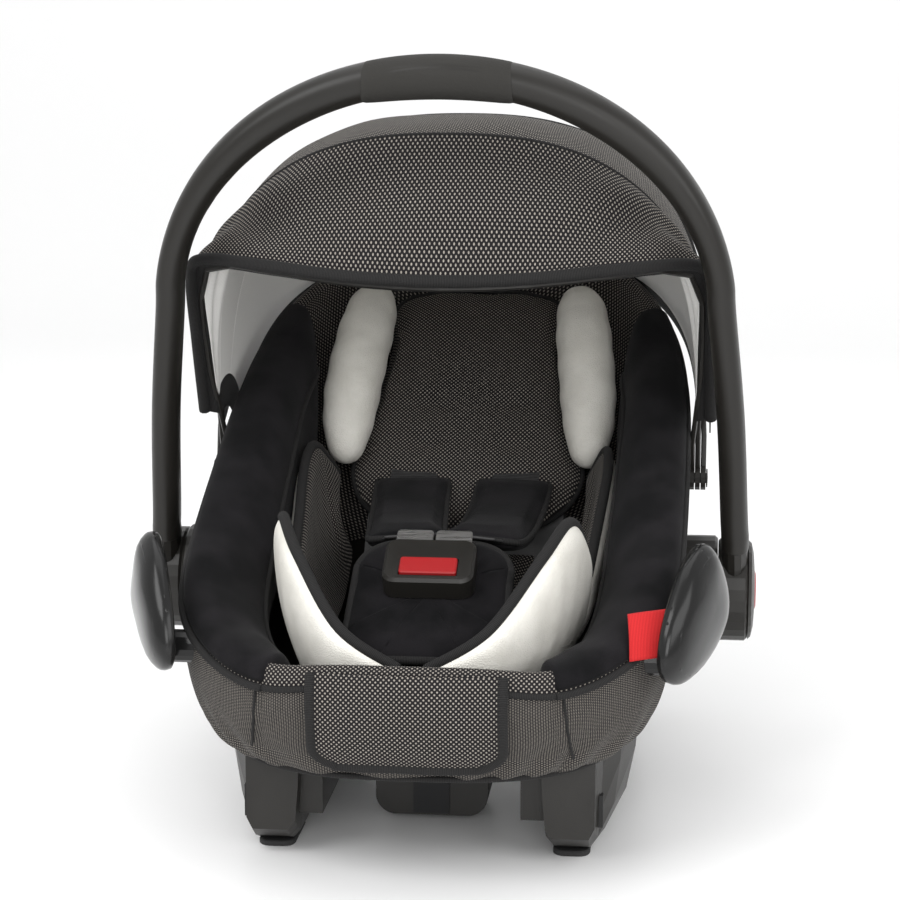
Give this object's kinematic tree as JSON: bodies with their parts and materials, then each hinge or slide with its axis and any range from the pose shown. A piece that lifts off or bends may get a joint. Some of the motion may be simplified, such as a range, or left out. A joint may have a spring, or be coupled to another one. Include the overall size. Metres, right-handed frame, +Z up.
{
  "type": "infant car seat",
  "caption": "Rear-facing infant carrier seat on rockers, with a swinging carry handle, folding canopy, padded liner and newborn insert, and a buckled harness.",
  "frame": {"origin": "middle of the seat's footprint box, on the plane it stands on", "axes": "+Z up, +Y towards the head end, -Y towards the foot end, +X across to the seat's right as seen from the foot end"},
  "size_m": [0.4452, 0.5642, 0.5271],
  "materials": {
    "plastic": "satin moulded, fine grain",
    "gloss_plastic": "polished",
    "grip_rubber": "fine rough texture",
    "foot_rubber": "matt",
    "red_plastic": "satin",
    "steel": "plain zinc",
    "dotted_fabric": "light dots woven on near-black",
    "twill_fabric": "fine dark grey twill",
    "suede": "soft black nap",
    "cream_leatherette": "smooth cream coated cloth",
    "webbing": "ribbed black polyester webbing",
    "foam": "moulded bead foam"
  },
  "bodies": {
    "seat": {"seat_shell": "plastic", "seat_cover": "dotted_fabric", "adjuster_strap": "webbing", "front_flap": "dotted_fabric", "rocker_runner_right": "plastic", "rocker_runner_left": "plastic", "runner_plug_right": "foot_rubber", "runner_plug_left": "foot_rubber", "front_foot_pad_right": "foot_rubber", "front_foot_pad_left": "foot_rubber", "rear_foot_pad_right": "foot_rubber", "rear_foot_pad_left": "foot_rubber", "belly_housing": "plastic", "belt_guide_right": "gloss_plastic", "belt_guide_left": "gloss_plastic", "hub_housing_right": "plastic", "hub_housing_left": "plastic", "canopy_pivot_right": "plastic", "canopy_pivot_left": "plastic", "foam_liner": "foam", "insert_seat_pad": "dotted_fabric", "side_bolster_right": "suede", "side_bolster_left": "suede", "lower_petal_right": "cream_leatherette", "lower_petal_left": "cream_leatherette", "upper_petal_right": "cream_leatherette", "upper_petal_left": "cream_leatherette", "back_pad": "dotted_fabric", "head_bolster_right": "cream_leatherette", "head_bolster_left": "cream_leatherette", "crotch_pad": "suede", "crotch_strap": "webbing", "buckle_body": "plastic", "buckle_tongue_right": "steel", "buckle_tongue_left": "steel", "shoulder_strap_right": "webbing", "shoulder_strap_left": "webbing", "shoulder_pad_right": "suede", "shoulder_pad_left": "suede", "canopy_rear_panel": "twill_fabric"},
    "carry_handle": {"handle_bar": "plastic", "handle_grip": "grip_rubber", "handle_hub_cover_right": "plastic", "handle_hub_cover_left": "plastic", "hub_pivot_pin_right": "steel", "hub_pivot_pin_left": "steel", "button_spring_right": "steel", "button_spring_left": "steel"},
    "release_right": {"release_button_right": "red_plastic", "lock_gear_right": "plastic"},
    "release_left": {"release_button_left": "red_plastic", "lock_gear_left": "plastic"},
    "canopy_rear": {"canopy_hoop_rear": "plastic"},
    "canopy_mid": {"canopy_hoop_mid": "plastic", "canopy_mid_panel": "dotted_fabric"},
    "canopy_front": {"canopy_hoop_front": "plastic", "canopy_front_panel": "dotted_fabric"},
    "harness_button": {"buckle_button": "red_plastic"},
    "adjuster": {"adjuster_button": "red_plastic"}
  },
  "joints": [
    {"name": "handle_swing", "type": "hinge", "parent": "seat", "child": "carry_handle", "pos_m": [0, -0.0009, 0.142], "axis": [1, 0, 0], "range_deg": [-105, 0]},
    {"name": "release_right_press", "type": "slide", "parent": "carry_handle", "child": "release_right", "axis": [-1, 0, 0], "range_m": [0, 0.0032], "stiffness_N_per_m": 800, "deforming": ["button_spring_right"]},
    {"name": "release_left_press", "type": "slide", "parent": "carry_handle", "child": "release_left", "axis": [1, 0, 0], "range_m": [0, 0.0032], "stiffness_N_per_m": 800, "deforming": ["button_spring_left"]},
    {"name": "canopy_rear_fold", "type": "hinge", "parent": "seat", "child": "canopy_rear", "pos_m": [0, 0.0551, 0.213], "axis": [1, 0, 0], "range_deg": [-36, 0], "deforming": ["canopy_rear_panel"]},
    {"name": "canopy_mid_fold", "type": "hinge", "parent": "canopy_rear", "child": "canopy_mid", "pos_m": [0, 0.0551, 0.213], "axis": [1, 0, 0], "range_deg": [-24, 0], "deforming": ["canopy_mid_panel"]},
    {"name": "canopy_front_fold", "type": "hinge", "parent": "canopy_mid", "child": "canopy_front", "pos_m": [0, 0.0551, 0.213], "axis": [1, 0, 0], "range_deg": [-5, 0], "deforming": ["canopy_front_panel"]},
    {"name": "buckle_press", "type": "slide", "parent": "seat", "child": "harness_button", "axis": [0, 0.4695, -0.8829], "range_m": [0, 0.003], "stiffness_N_per_m": 900},
    {"name": "adjuster_press", "type": "slide", "parent": "seat", "child": "adjuster", "axis": [0, 1, 0], "range_m": [0, 0.005], "stiffness_N_per_m": 600}
  ],
  "couplings": [
    {"joint": "canopy_mid_fold", "follows": "canopy_rear_fold", "ratio": 0.6666},
    {"joint": "canopy_front_fold", "follows": "canopy_rear_fold", "ratio": 0.1388}
  ]
}
